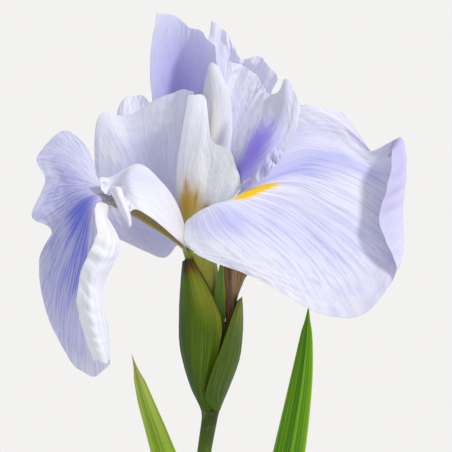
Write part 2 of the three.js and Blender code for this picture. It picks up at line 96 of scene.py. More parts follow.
def readAt(grid, t, u):
    # the grid's values at other t and u, blended from the four nearest points
    rows, cols = grid.shape[0] - 1, grid.shape[1] - 1
    row, col = np.clip(t, 0, 1) * rows, np.clip(u, 0, 1) * cols
    i, j = np.minimum(row.astype(int), rows - 1), np.minimum(col.astype(int), cols - 1)
    f, g = (row - i)[..., None], (col - j)[..., None]
    upper = grid[i, j] * (1 - g) + grid[i, j + 1] * g
    lower = grid[i + 1, j] * (1 - g) + grid[i + 1, j + 1] * g
    return upper * (1 - f) + lower * f


def nodePoints(name):
    # the corners of one node of the frame, in millimetres
    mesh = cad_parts[name].data
    flat = np.empty(len(mesh.vertices) * 3, np.float32)
    mesh.vertices.foreach_get("co", flat)
    return flat.reshape(-1, 3).astype(float) / mm


def levelRings(name):
    # a rod or blade of the frame, cut at its levels: the middle and the half sizes of each ring
    sameLevel = 0.05
    points = nodePoints(name)
    points = points[np.argsort(points[:, 2])]
    starts = np.concatenate([[0], np.flatnonzero(np.diff(points[:, 2]) > sameLevel) + 1])
    low, high = np.minimum.reduceat(points, starts), np.maximum.reduceat(points, starts)
    return (low + high) / 2, (high - low) / 2


def patches(t, u, spots):
    # sum of soft spots, each e^-(distance^2); slope slides a spot's u as t grows
    total = np.zeros_like(t)
    for spot in spots:
        alongT, alongU, reachT, reachU, slope, amount = spot
        awayT = (t - alongT) / reachT
        awayU = (u - alongU - slope * (t - alongT)) / reachU
        total += amount * np.exp(-awayT ** 2 - awayU ** 2)
    return total


def blend(tint, colour, amount):
    # the tint moved towards the colour by an amount from 0 to 1
    amount = amount[..., None]
    return tint * (1 - amount) + np.array(colour[:3]) * amount


def bothFaces(field):
    # the same values for a sheet's upper and under face
    return np.concatenate([field, field]).reshape(-1, field.shape[-1])


class Flow:
    # one socket, so that shader maths reads as an expression
    def __init__(self, maker, socket):
        self.maker, self.socket = maker, socket

    def out(self, index):
        return Flow(self.maker, self.socket.node.outputs[index])

    def math(self, operation, first, second):
        return self.maker.node("ShaderNodeMath", {"operation": operation}, {0: first, 1: second})

    def __add__(self, other):
        return self.math("ADD", self, other)

    def __radd__(self, other):
        return self.math("ADD", other, self)

    def __sub__(self, other):
        return self.math("SUBTRACT", self, other)

    def __rsub__(self, other):
        return self.math("SUBTRACT", other, self)

    def __mul__(self, other):
        return self.math("MULTIPLY", self, other)

    def __rmul__(self, other):
        return self.math("MULTIPLY", other, self)

    def step(self, low, high):
        # smooth step from 0 at low to 1 at high
        settings = {"interpolation_type": "SMOOTHSTEP"}
        inputs = {"Value": self, "From Min": low, "From Max": high}
        return self.maker.node("ShaderNodeMapRange", settings, inputs)

    def stretch(self, x, y, z):
        # a place multiplied axis by axis, so that a pattern is drawn out along the smallest
        return self.maker.node("ShaderNodeVectorMath", {"operation": "MULTIPLY"}, {0: self, 1: (x, y, z)})


class Finish:
    # a new material and the nodes in it
    def __init__(self, name):
        self.material = bpy.data.materials.new(name)
        self.material.use_nodes = True
        self.tree = self.material.node_tree
        self.shader = self.tree.nodes["Principled BSDF"]

    def node(self, kind, settings=None, inputs=None, output=0):
        made = self.tree.nodes.new(kind)
        for key, value in (settings or {}).items():
            setattr(made, key, value)
        self.connect(made, inputs or {})
        return Flow(self, made.outputs[output])

    def connect(self, made, inputs):
        for key, value in inputs.items():
            if isinstance(value, Flow):
                self.tree.links.new(value.socket, made.inputs[key])
            else:
                made.inputs[key].default_value = value

    def mix(self, factor, first, second):
        return self.node("ShaderNodeMix", {"data_type": "RGBA"}, {0: factor, 6: first, 7: second}, 2)

    def noise(self, vector, scale, detail=2.0, roughness=0.5):
        # scale is waves a metre on the object's own place
        inputs = {"Vector": vector, "Scale": scale, "Detail": detail, "Roughness": roughness}
        return self.node("ShaderNodeTexNoise", {}, inputs)

    def bump(self, height, strength, distance):
        inputs = {"Height": height, "Strength": strength, "Distance": distance * mm}
        return self.node("ShaderNodeBump", {}, inputs)

    def place(self):
        return self.node("ShaderNodeTexCoord").out(3)

    def sheetPlace(self):
        return self.node("ShaderNodeUVMap", {"uv_map": "sheet"})

    def painted(self, layer):
        return self.node("ShaderNodeVertexColor", {"layer_name": layer})

    def finish(self, **inputs):
        self.connect(self.shader, {key.replace("_", " "): value for key, value in inputs.items()})
        return self.material


def sheetFaces(rows, cols):
    # quads of a closed sheet: the upper face, the under face turned over, and a wall round the edge
    i, j = np.meshgrid(np.arange(rows), np.arange(cols), indexing="ij")
    a = (i * (cols + 1) + j).ravel()
    b = a + cols + 1
    under = (rows + 1) * (cols + 1)
    upper = np.stack([a, b, b + 1, a + 1], 1)
    lower = under + upper[:, ::-1]
    width = cols + 1
    edge = np.concatenate([
        np.arange(rows) * width,
        rows * width + np.arange(cols),
        np.arange(rows, 0, -1) * width + cols,
        np.arange(cols, 0, -1),
    ])
    after = np.roll(edge, -1)
    wall = np.stack([under + edge, under + after, after, edge], 1)
    return np.concatenate([upper, lower, wall])


def addObject(name, data):
    # an object at the origin, linked into the scene
    made = bpy.data.objects.new(name, data)
    bpy.context.scene.collection.objects.link(made)
    return made


def addPiece(name, points, faces, material, node, paint=None, uv=None):
    # a smooth mesh with its painted layers and its map, riding the root in place of one node
    mesh = bpy.data.meshes.new(name)
    mesh.from_pydata((points * mm).tolist(), [], faces if isinstance(faces, list) else faces.tolist())
    mesh.shade_smooth()
    for layer, colours in (paint or {}).items():
        opaque = np.concatenate([colours, np.ones((len(colours), 1))], 1).astype(np.float32)
        mesh.color_attributes.new(layer, "FLOAT_COLOR", "POINT").data.foreach_set("color", opaque.ravel())
    if uv is not None:
        corners = np.empty(len(mesh.loops), np.int32)
        mesh.loops.foreach_get("vertex_index", corners)
        mesh.uv_layers.new(name="sheet").uv.foreach_set("vector", uv[corners].astype(np.float32).ravel())
    mesh.materials.append(material)
    piece = addObject(name, mesh)
    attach(piece, "root")
    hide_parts(node)
    print(name, len(mesh.polygons), "faces")
    return piece


def veinGrid(spec, centre, seatRise, scale, t, u):
    # curves up each vein from its seat on the ring, then curves across the veins
    count = len(spec["veins"])
    share = np.linspace(0, 1, count)
    drawn = [np.reshape(vein, (-1, 3)) * scale for vein in spec["veins"]]
    if "seat" in spec:
        (fromAngle, fromRadius), (toAngle, toRadius) = spec["seat"]
        angle = np.radians(fromAngle + (toAngle - fromAngle) * share)
        radius = fromRadius + (toRadius - fromRadius) * share
        seats = np.stack([radius * np.cos(angle), radius * np.sin(angle), np.full(count, seatRise)], 1)
        drawn = [np.concatenate([seats[k:k + 1], drawn[k]]) for k in range(count)]
    up = np.stack([catmull(vein, t) for vein in drawn])
    return catmull(up, u).transpose(1, 0, 2) + centre


# waves of a sheet's random relief: along it, across it
dimpleWaves = (46, 60)
crinkleWaves = (26, 22)
ribWavesAlong = 4
midribWidth = 0.12


def sheetPiece(name, spec, centre, seatRise, scale, material, node=None):
    # Surface through the veins, its margin trimmed in scallops, moved along its normal by the ruffle
    # (a wave across that grows towards the end), the folds (finer waves along one margin), dimples in
    # soft spots, ribs and crinkles, then given two faces half a thickness either side. It is
    # thickest at the seat and up the midrib, and its margin thins to a third.
    rows, cols = spec["grid"]
    t, u = np.linspace(0, 1, rows + 1), np.linspace(0, 1, cols + 1)
    grid = veinGrid(spec, centre, seatRise, scale, t, u)
    alongT, acrossU = np.meshgrid(t, u, indexing="ij")
    shape = alongT.shape
    seed = spec["seed"]
    scallops, depth = spec["scallops"]
    trim = depth * (0.5 + 0.5 * wander(seed, 0, scallops, shape)[:1]) * ease((alongT - 0.5) * 2)
    sideTrim = depth * wander(seed + 1, scallops, 0, shape)[:, :1] * ease(np.abs(acrossU * 2 - 1) * 2 - 1)
    sideTrim = np.abs(sideTrim) * ease(alongT * 4)
    grid = readAt(grid, alongT * (1 - trim), 0.5 + (acrossU - 0.5) * (1 - sideTrim))
    out = normalsOf(grid)
    waves, phase, reach, height = spec["ruffle"]
    lift = height * np.sin(np.pi * waves * (acrossU * 2 - 1) + phase) * alongT ** reach
    for fold in spec.get("folds", []):
        lift = lift + foldWave(fold, alongT, acrossU, seed)
    dimples = patches(alongT, acrossU, spec.get("dimples", []))
    lift = lift + dimples * wander(seed + 4, *dimpleWaves, shape)
    ribCount, ribHeight = spec["ribs"]
    lift = lift + ribHeight * wander(seed + 2, ribWavesAlong, ribCount, shape) * ease(alongT * 5)
    crinkle = spec.get("crinkle", 0.12)
    lift = lift + crinkle * wander(seed + 3, *crinkleWaves, shape) * ease(alongT * 1.5)
    grid = grid + out * lift[..., None]
    out = normalsOf(grid)
    thin, thick = spec.get("thickness", (0.3, 0.9))
    middle = np.exp(-((acrossU - spec.get("midrib", 0.5)) / midribWidth) ** 2) * (1 - alongT)
    edge = np.minimum(np.minimum(acrossU, 1 - acrossU) * 12, (1 - alongT) * 14)
    half = (thin + (thick - thin) * np.maximum(middle, ease(1 - alongT * 4))) * (0.35 + 0.65 * ease(edge)) / 2
    points = np.concatenate([grid + out * half[..., None], grid - out * half[..., None]]).reshape(-1, 3)
    tint = np.broadcast_to(np.array(spec["colour"][:3]), shape + (3,)).copy()
    # the tints are the sheet's own colours, and in places painted shade and painted light
    for colour, spots in spec.get("tints", []):
        tint = blend(tint, colour, np.clip(patches(alongT, acrossU, spots), 0, 1))
    marks = np.stack([
        spec.get("veinBase", 0.35) + patches(alongT, acrossU, spec.get("veinSpots", [])),
        patches(alongT, acrossU, spec.get("signal", [])),
        patches(alongT, acrossU, spec.get("stainAndShade", [])),
    ], -1)
    place = bothFaces(np.stack([acrossU, alongT], -1))
    paint = {"tint": bothFaces(tint), "marks": bothFaces(marks)}
    return addPiece(name, points, sheetFaces(rows, cols), material, node or name, paint, place)


def foldWave(fold, t, u, seed):
    # waves of a length that wanders, strongest at one margin: end (t = 1), left (u = 0) or right (u = 1)
    side, count, start, height, (low, high) = fold
    run, nearness = {"end": (u, t), "left": (t, 1 - u), "right": (t, u)}[side]
    shift = 0.9 * wander(seed + count, 5, 5, t.shape)
    window = ease((run - low) * 12) * ease((high - run) * 12)
    wave = np.sin(2 * np.pi * (count * run + shift)) + 0.4 * np.sin(2 * np.pi * (2.3 * count * run - shift))
    calm = 1 - 0.5 * ease((nearness - 0.93) / 0.07)
    return height * wave * calm * ease((nearness - start) / (1 - start)) * window


def petalFinish(name, lines, veinColour, signalColour, stainAndShadeColour):
    # veins run up the sheet, thinner and closer than its ribs; the signal and the stain end in streaks. The
    # stain is the petal's own colour, and on the left fall it is partly painted shade.
    f = Finish(name)
    uv = f.sheetPlace()
    marks = f.node("ShaderNodeSeparateColor", {}, {0: f.painted("marks")})
    fine = f.noise(uv.stretch(lines, 4.5, 1), 1.0, 2.0, 0.55)
    hair = f.noise(uv.stretch(lines * 2.2, 9, 1), 1.0, 1.0)
    broad = f.noise(uv.stretch(lines * 0.3, 2.5, 1), 1.0, 2.0)
    speckle = f.noise(f.place(), 1400.0, 2.0, 0.65)
    streak = fine.step(0.46, 0.6) * 0.62 + hair.step(0.5, 0.68) * 0.35 + broad.step(0.4, 0.7) * 0.15
    veins = marks.out(0) * streak * (0.3 + speckle * 1.5)
    colour = f.mix(veins, f.painted("tint"), veinColour)
    stainAndShade = (marks.out(2) * 1.25 + (streak - 0.45) * 0.5 * marks.out(2).step(0, 0.35)).step(0.05, 1.15)
    colour = f.mix(stainAndShade, colour, stainAndShadeColour)
    signal = (marks.out(1) + (fine + hair - 1) * 0.9 * marks.out(1).step(0.02, 0.4)).step(0.12, 1.0)
    colour = f.mix(signal, colour, signalColour)
    relief = f.bump(fine * 0.45 + hair * 0.2 + speckle * 0.35, 0.5, 0.26)
    return f.finish(
        Base_Color=colour, Roughness=0.5 + speckle * 0.2, Normal=relief,
        Subsurface_Weight=0.22, Subsurface_Radius=(1.0, 0.9, 1.1), Subsurface_Scale=0.0012,
        Specular_IOR_Level=0.3, Sheen_Weight=0.12, Sheen_Roughness=0.4,
    )


def greenFinish(name, darkColour, lightColour, streaks, strength):
    # parallel veins along the sheet, a darker and a lighter one taking turns
    f = Finish(name)
    uv = f.sheetPlace()
    fine = f.noise(uv.stretch(streaks, 1.6, 1), 1.0, 2.0)
    blotch = f.noise(f.place(), 160.0, 3.0, 0.6)
    grain = f.noise(f.place(), 1500.0, 2.0)
    colour = f.mix(fine.step(0.5, 0.68) * strength, f.painted("tint"), darkColour)
    colour = f.mix((0.5 - fine).step(0.02, 0.2) * strength, colour, lightColour)
    colour = f.mix(blotch.step(0.55, 0.75) * 0.25, colour, darkColour)
    relief = f.bump(fine * 0.8 + grain * 0.2, 0.4, 0.2)
    return f.finish(
        Base_Color=colour, Roughness=0.42 + grain * 0.16, Normal=relief,
        Subsurface_Weight=0.06, Subsurface_Radius=(0.5, 1.0, 0.2), Subsurface_Scale=0.001,
        Specular_IOR_Level=0.16,
    )


petalWhite = tone(238, 238, 251)
coolWhite = tone(228, 229, 247)
lavender = tone(190, 190, 240)
deepLavender = tone(160, 155, 228)
skyLavender = tone(176, 182, 246)
deepBlue = tone(100, 112, 226)
yellow = tone(250, 206, 8)
gold = tone(196, 152, 40)
limeGreen = tone(176, 190, 70)
cream = tone(240, 236, 226)

# petals and style arms sit on rings, one petal and one clearance apart
petalThickness = 1
sheetGap = 0.3
petalSeatRise = -0.6
seatStep = petalThickness + sheetGap
innerSeat, middleSeat, outerSeat, backSeat = (k * seatStep for k in (1, 2.75, 4.3, 4.5))
drawnWidth = 149.73  # the bloom's width as its veins are drawn, so that a wider frame widens them
flowerWidth = (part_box("fall_right")[1].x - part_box("fall_left")[0].x) / mm
flowerScale = flowerWidth / drawnWidth
tubeMiddles, tubeHalves = levelRings("floral_tube")
tubeTop = tubeMiddles[-1]
stemMiddles, stemHalves = levelRings("stem")
stemTop = stemMiddles[-1]


def greenSeat(reach, amount=0.9):
    # the green that fades out a little way above a petal's seat
    return limeGreen, [(0, 0.5, reach, 1.5, 0, amount)]


petals = {
    # spreads to the right, its end curled back over itself and crinkled
    "fall_right": {
        "seat": ((297, outerSeat), (352, outerSeat)), "grid": (170, 190), "seed": 11, "colour": petalWhite,
        "ruffle": (5, 0.4, 6, 0.8), "scallops": (30, 0.012), "midrib": 0.4, "ribs": (80, 0.09),
        "folds": [("end", 13, 0.76, 0.45, (0.3, 0.84)), ("end", 29, 0.84, 0.14, (0, 0.9))],
        "tints": [
            (skyLavender, [(0.36, 0.54, 0.17, 0.09, 0.72, 0.5), (0.55, 0.6, 0.16, 0.06, 0.1, 0.45),
                           (0.3, 0.19, 0.09, 0.09, 0, 0.6), (0.5, 0.3, 0.2, 0.1, 0, 0.3)]),
            # painted shade: grey-lavender over the fall's upper part, beside the style arm
            (tone(212, 211, 238), [(0.3, 0.85, 0.5, 0.14, 0, 0.5)]),
            # painted shade: grey-lavender on the curled-back lip at the end and in a band where the curl
            # begins
            (tone(196, 190, 228), [(0.97, 0.68, 0.14, 0.3, 0, 1.2), (0.8, 0.5, 0.07, 0.2, 0, 0.5)]),
            (limeGreen, [(0, 0.3, 0.07, 0.8, 0, 0.9)]),
            (tone(252, 250, 244), [(0.27, 0.39, 0.07, 0.06, 0.3, 0.9)]),
        ],
        "veinSpots": [(0.4, 0.54, 0.2, 0.09, 0.45, 0.8), (0.6, 0.6, 0.15, 0.08, 0, 0.5),
                      (0.3, 0.2, 0.1, 0.11, 0, 0.7), (0.5, 0.3, 0.25, 0.15, 0, 0.45)],
        "signal": [(0.225, 0.355, 0.036, 0.06, 0.8, 1.5), (0.262, 0.398, 0.04, 0.026, 0.3, 1)],
        "stainAndShade": [(0.38, 0.55, 0.1, 0.04, 0.55, 0.35)],
        "veins": [
            [-4, -16, 12.5,  -6, -24, 8,  -5.5, -27.5, 4.8,
              -3.5, -30, 2.6,  -0.5, -32, 0.4,  3, -33.5, -0.6],
            [0, -19, 16,  2.5, -27, 9,  8.5, -31.5, 3.5,  14.5, -34, -0.8,  19, -35.5, -4,  23.5, -37, -9],
            [6, -19, 19,  15, -26, 11.5,  27, -32, 2,  35, -35, -6,  40, -37, -13,  44, -38.5, -20.5],
            [11, -16, 20,  28, -19, 16.5,  45, -27.5, 4,  54, -32, -7,  58.5, -34.5, -15,  63, -36, -23.5],
            [15, -12, 21.5,  36, -12, 25.5,  55.5, -20, 16.5,  71, -25, 5,  78, -28, -1,  76.5, -33, -7],
            [17, -7.5, 21.5,  39.5, -6, 32,  60, -12, 28,  75.5, -16, 19,  80, -23, 16,  70.5, -32, 11],
            [17.5, -4, 24.5,  39.5, 0, 37.5,  58, -5, 35.5,  74, -11, 29,  81.5, -18, 30.5,  73, -27, 25.5],
            [19, -1.5, 25.5,  38, 5.5, 41.5,  56, 0, 40,  70, -6, 34.5,  80, -11, 45,  76, -17, 41],
            [20, 0, 26,  37, 9, 44,  51, 7, 45,  61.5, 2, 41.5,  68.5, -2, 38,  74, -5.5, 36],
            [20.5, 1, 26.5,  35.5, 12, 46,  46, 12, 50,  55.5, 9, 49.5,  61.5, 5, 46.5,  67, 1, 41.5],
            [21.5, 3, 27,  32, 17, 47.5,  37, 20, 54,  42, 21, 57.5,  49.5, 19, 56.5,  58.5, 16, 54.5],
        ],
    },
    # arches over to the left and hangs, its near margin rolled and crinkled
    "fall_left": {
        "seat": ((163, outerSeat), (222, outerSeat)), "grid": (190, 190), "seed": 23, "colour": petalWhite,
        "ruffle": (6, 0.9, 7, 0.9), "scallops": (26, 0.014), "ribs": (80, 0.09),
        "folds": [("right", 9, 0.8, 0.5, (0.55, 1)), ("right", 21, 0.86, 0.14, (0.5, 1)),
                  ("end", 11, 0.8, 0.4, (0, 0.75))],
        "tints": [
            # painted shade: grey-lavender over the upper lobes and the outer end
            (tone(204, 204, 230), [(0.8, 0.2, 0.4, 0.25, 0, 0.9), (0.9, 0.5, 0.25, 0.25, 0, 0.6)]),
            (lavender, [(0.62, 0.3, 0.2, 0.1, 0, 0.5), (0.55, 0.5, 0.2, 0.2, 0, 0.5),
                        (0.78, 0.62, 0.25, 0.12, 0, 0.7)]),
            (tone(206, 186, 58), [(0, 0.5, 0.3, 2, 0, 1), (0.22, 0.5, 0.14, 2, 0, 0.9)]),
            (cream, [(0.36, 0.5, 0.05, 1, 0, 0.4)]),
            # painted light: the rolled near margin lifted to near-white, over the petal's own white
            (tone(251, 251, 255), [(0.78, 1, 0.35, 0.1, 0, 1)]),
        ],
        "veinBase": 0.4,
        "veinSpots": [(0.6, 0.45, 0.25, 0.25, 0, 0.6), (0.8, 1, 0.4, 0.12, 0, -0.4)],
        # the fall's own blue patch, widened and deepened as painted shade
        "stainAndShade": [(0.52, 0.52, 0.12, 0.11, -0.3, 0.9), (0.62, 0.67, 0.2, 0.07, 0, 0.6)],
        "veins": [
            [-15, 5, 11.5,  -28, 7, 20,  -38, 12, 25,  -41, 15, 28,
              -42, 17, 31,  -43, 18, 34,  -45, 20, 39],
            [-15.5, 4, 11.5,  -28, 6, 20,  -39, 9, 25,  -43, 12, 30,
              -47, 15, 36,  -50, 18, 41,  -55, 20, 47],
            [-15.5, 3.5, 11.5,  -28.5, 5, 19.5,  -39, 6, 25,  -46, 9, 29,
              -53, 12, 34,  -60, 14, 36,  -66, 15, 36],
            [-15.5, 2.5, 11,  -29, 3.5, 19.5,  -40, 3, 24,  -47, 6, 26,
              -54, 9, 27,  -58, 10, 27.5,  -62, 9, 27],
            [-15.5, 2, 10.5,  -29, 1.5, 19,  -41, 0, 23,  -49, 3, 22.5,
              -56, 6, 19,  -62, 6.5, 16.5,  -67.5, 6, 13],
            [-15.7, 1.5, 10.5,  -29.2, 0.5, 19,  -41, -3.5, 22.5,  -49.5, -1, 18.5,
              -55, 2, 13,  -57.8, 4, 10.5,  -60, 5, 7.5],
            [-16, 1, 10.5,  -29.5, -0.5, 19,  -41, -6, 22,  -50, -4, 15,
              -56, -1, 8,  -60, 1, 1,  -64, 2, -6],
            [-16, 0, 10,  -30, -2.5, 18.5,  -41, -11, 20,  -49, -12, 8,
              -55, -10, -7,  -58, -7, -20,  -60, -5, -29],
            [-16, -1, 9.5,  -30, -4.5, 18,  -41, -15, 18,  -45, -19, 4,
              -48, -19, -13,  -50, -16, -29,  -50, -12, -45],
            [-16.5, -2, 9,  -30.5, -6.5, 17.5,  -39, -19, 17,  -41, -24, 3,
              -42, -26, -13,  -42, -24, -30,  -41, -20, -49],
            [-16.5, -3, 8.5,  -30.5, -8.5, 17,  -36, -22.5, 15.5,  -31, -28, 4,
              -37, -31, -13,  -35, -30, -29,  -34, -27, -43],
            [-16.5, -4, 8.5,  -30.5, -10, 17,  -36.8, -25.8, 16.8,  -34, -34, 4,
              -41, -37, -10,  -40, -37, -28,  -36, -33, -42],
            [-17, -5, 8,  -31, -11.5, 16.5,  -40, -28, 20,  -40, -35, 8,
              -46, -35.5, -6,  -47, -36, -22,  -41, -33, -42],
        ],
    },
    "fall_back": {
        "seat": ((46, backSeat), (80, backSeat)), "grid": (120, 110), "seed": 31, "colour": petalWhite,
        "ruffle": (5, 0.2, 5, 1), "scallops": (9, 0.02), "ribs": (46, 0.07),
        "folds": [("end", 7, 0.8, 0.4, (0, 1))],
        "tints": [greenSeat(0.1), (lavender, [(0.55, 0.85, 0.3, 0.25, 0, 0.2)])],
        "signal": [(0.2, 0.5, 0.08, 0.2, 0, 1)],
        "veins": [
            [11, 24, 16.5,  21.5, 40, 38.5,  28, 46, 56.5,  32.5, 44, 68],
            [8, 27, 18.5,  16.5, 46, 44,  21.5, 52, 63.5,  25, 50, 77],
            [5, 29, 19,  11.5, 50, 48,  15.5, 55, 67,  17, 53, 76],
            [2, 30, 19,  5.5, 51, 51,  8.5, 53, 74.5,  11, 51, 87.5],
            [-0.5, 30, 18,  1, 49, 51,  2.5, 49, 76,  5, 47, 92],
        ],
    },
    "petal_behind": {
        "seat": ((98, backSeat), (124, backSeat)), "grid": (100, 90), "seed": 37, "colour": petalWhite,
        "ruffle": (2, 0.2, 5, 0.6), "scallops": (6, 0.02), "ribs": (40, 0.07),
        "folds": [("end", 5, 0.8, 0.3, (0, 1))],
        "tints": [greenSeat(0.12), (lavender, [(0.5, 0.5, 0.25, 0.3, 0, 0.4)])],
        "signal": [(0.22, 0.5, 0.08, 0.2, 0, 1)],
        "veins": [
            [-8, 36, 20,  -17.5, 56, 41.5,  -19.5, 64, 55.5],
            [-11.5, 38, 22,  -24.5, 58, 45,  -25.5, 68, 60.5],
            [-15, 38, 19.5,  -31, 57, 42.5,  -33, 66, 57.5],
            [-18.5, 36, 15.5,  -36, 52, 32,  -38.5, 62, 45.5],
        ],
    },
    "standard_left": {
        "seat": ((170, middleSeat), (146, 3.25 * seatStep)), "grid": (140, 160), "seed": 41,
        "colour": coolWhite,
        "ruffle": (4, 0.2, 5, 0.9), "scallops": (12, 0.008), "ribs": (60, 0.07),
        "dimples": [(0.68, 0.1, 0.2, 0.08, 0, 0.3)],
        "tints": [
            # partly the petal's own lavender, partly painted shade over the middle; painted light: a whiter
            # top and two thin near-white streaks across the upper part
            (lavender, [(0.4, 0.6, 0.3, 0.6, 0, 0.6)]), (petalWhite, [(0.9, 0.3, 0.15, 0.3, 0, 0.6)]),
            (tone(250, 250, 255), [(0.85, 0.5, 0.13, 0.03, 0, 0.8), (0.8, 0.59, 0.12, 0.03, 0.2, 0.9)]),
            greenSeat(0.09),
        ],
        "veins": [
            [-7.5, 5, 15.5,  -7.5, 10, 31.5,  -4.5, 16, 47.5,  -2, 19, 63],
            [-9.5, 8, 16.5,  -11, 15, 33,  -10.5, 21, 49.5,  -8, 26, 63.5],
            [-12, 11, 16,  -16, 19, 32.5,  -18, 26, 48,  -16, 30, 60],
            [-13.5, 12, 14.5,  -21, 20, 28,  -26, 27, 43,  -29.5, 31, 53],
            [-14.5, 13, 11,  -24, 20, 20.5,  -35, 27, 38,  -41.5, 30, 52],
            [-13, 11, 7,  -24, 18, 13.5,  -35.5, 23, 18.5,  -43, 26, 26],
            [-10.5, 10, 3.5,  -19, 17, 4.5,  -30.5, 20, 6.5,  -40.5, 24, 13],
            [-8, 9, 1.5,  -14, 15, -4.5,  -22.5, 18, -2,  -32.5, 21, 2.5],
        ],
    },
    "standard_top": {
        "seat": ((84, middleSeat), (114, middleSeat)), "grid": (130, 130), "seed": 47, "colour": coolWhite,
        "ruffle": (3, 1.2, 5, 0.7), "scallops": (8, 0.01), "ribs": (50, 0.07),
        "folds": [("end", 6, 0.85, 0.3, (0, 1))],
        "tints": [
            # partly the petal's own lavender, partly painted shade deepening into the cup
            (lavender, [(0.6, 0.5, 0.45, 1, 0, 0.75)]),
            (deepLavender, [(0.68, 0.6, 0.2, 0.22, 0, 0.5)]),
            greenSeat(0.09),
        ],
        "veins": [
            [2.5, 19, 23,  5.5, 29, 47,  7, 29, 67.5,  6, 27, 81],
            [-0.5, 24, 22.5,  0, 37, 46.5,  1.5, 37, 69,  2, 33, 86],
            [-4.5, 27, 22.5,  -6.5, 42, 46.5,  -7, 42, 71,  -5, 37, 90],
            [-7.5, 26, 21.5,  -13, 40, 46.5,  -14, 36, 73.5,  -11.5, 31, 94.5],
            [-9.5, 24, 20,  -17.5, 36, 46.5,  -20, 24, 73.5,  -16.5, 18, 94.5],
        ],
    },
    "standard_right": {
        "seat": ((30, 3.1 * seatStep), (58, 2.95 * seatStep)), "grid": (120, 90), "seed": 53,
        "colour": petalWhite,
        "ruffle": (3, 0.2, 5, 0.6), "scallops": (8, 0.025), "ribs": (36, 0.07),
        "folds": [("end", 5, 0.8, 0.35, (0, 1))],
        "tints": [(lavender, [(0.45, 0.2, 0.25, 0.3, 0, 0.5)]), greenSeat(0.09)],
        "veins": [
            [12.5, 11, 23.5,  20.5, 18, 39,  25.5, 21, 50.5,  29, 23, 58.5],
            [9.5, 15, 26.5,  16, 25, 46.5,  20.5, 29, 57.5,  25.5, 30, 66.5],
            [7, 17, 28,  11.5, 28, 51,  14.5, 32, 64,  19, 33, 73],
            [5, 17, 28,  8, 26, 52,  10, 30, 65.5,  12, 32, 75.5],
        ],
    },
    # a tall narrow part, a notch and a low rounded lobe, on a golden claw
    "petaloid_front": {
        "seat": ((235, 1.25 * seatStep), (292, 2.85 * seatStep)), "grid": (130, 130), "seed": 59,
        "colour": petalWhite,
        "ruffle": (3, 0.2, 5, 0.6), "scallops": (8, 0.01), "ribs": (50, 0.06), "midrib": 0.3,
        "crinkle": 0.06,
        "tints": [
            # painted light: the low lobe lifted to pure white
            (tone(255, 255, 255), [(0.7, 0.7, 0.5, 0.5, 0, 1)]), (cream, [(0.45, 0.2, 0.22, 0.3, 0, 0.6)]),
            (tone(214, 184, 96), [(0.3, 0.2, 0.17, 0.4, 0, 0.9)]),
            (tone(178, 180, 50), [(0.16, 0.35, 0.16, 0.6, 0, 1.2)]),
            (tone(120, 88, 60), [(0.33, 0.53, 0.05, 0.07, 0, 0.7)]),
        ],
        "signal": [(0.3, 0.2, 0.18, 0.22, 0, 0.62), (0.42, 0.12, 0.16, 0.05, 0, 0.5),
                   (0.4, 0.3, 0.14, 0.03, 0, 0.5)],
        "veinBase": 0.2,
        "veins": [
            [-7.3, 2, 13.5,  -9.2, 5.5, 24.5,  -8.2, 11, 39.5,  -4.4, 15, 62],
            [-3.5, -1, 14.5,  -2.5, 0, 26.5,  0, 7, 41.5,  2.5, 15, 60.5],
            [0, -3.5, 14.5,  2, -4, 23.5,  4, 1, 34,  5, 7, 44],
            [3, -5, 13.5,  6, -7, 22.5,  9, -6, 31.5,  12, -3, 40],
            [4.5, -5, 13,  8, -7, 19.5,  12, -8.5, 26,  15.5, -8.5, 32.5],
            [5, -5, 11,  8.5, -7, 16,  12.5, -8.5, 20,  17, -9, 25],
        ],
    },
    # arches over the left fall and ends in a frilled crest
    "style_left": {
        "seat": ((198, 2.55 * seatStep), (238, 3.1 * seatStep)), "grid": (140, 110), "seed": 61,
        "colour": petalWhite,
        "ruffle": (3, 0.4, 6, 0.7), "scallops": (4, 0.1), "ribs": (40, 0.06), "midrib": 0.55,
        "thickness": (0.4, 1), "crinkle": 0.07,
        "folds": [("end", 3, 0.7, 0.8, (0, 1))],
        "tints": [(lavender, [(0.5, 0.5, 0.3, 0.25, 0, 0.35)]), (cream, [(0.2, 0.7, 0.15, 0.5, 0, 0.5)]),
                  greenSeat(0.08, 0.8)],
        "veinBase": 0.22,
        "veins": [
            [-8.5, -1, 18,  -16.5, 5, 28.5,  -24.5, 6, 34,  -35, 4, 29.5,  -39.5, 0, 30],
            [-10, -4, 18.5,  -19, 1, 29.5,  -26, 0, 33.5,  -35.5, -2, 26,  -41.5, -6, 25],
            [-10.5, -7, 16.5,  -19.5, -6, 27,  -27.5, -7, 30.5,  -33, -9, 24.5,  -36.5, -15, 21.5],
            [-11, -9.5, 12,  -18.5, -12, 20,  -25.5, -14.5, 24.5,  -29.5, -15.5, 21.5,  -31, -19, 18.5],
            [-10.5, -11, 6,  -16.5, -15, 11.5,  -21, -18, 15.5,  -25, -19.5, 16.5,  -27, -21.5, 15],
        ],
    },
    "style_back": {
        "seat": ((40, innerSeat), (130, innerSeat)), "grid": (130, 80), "seed": 67,
        "colour": tone(226, 226, 234),
        "ruffle": (1, 0.2, 5, 0.2), "scallops": (5, 0.01), "ribs": (26, 0.03), "midrib": 0.66,
        "thickness": (0.4, 1), "crinkle": 0.04,
        "tints": [
            (cream, [(0.45, 0.66, 0.3, 0.2, 0, 0.9)]),
            (tone(214, 200, 140), [(0.5, 0.68, 0.25, 0.05, 0, 0.5)]),
            greenSeat(0.1),
        ],
        "veinBase": 0.12,
        "veins": [
            [7, 6, 21.5,  13, 15, 43.5,  12.5, 19, 59.5,  8, 23, 72.5],
            [5, 5.5, 23.5,  9, 13, 43.5,  9.5, 18, 59.5,  6.5, 21, 74],
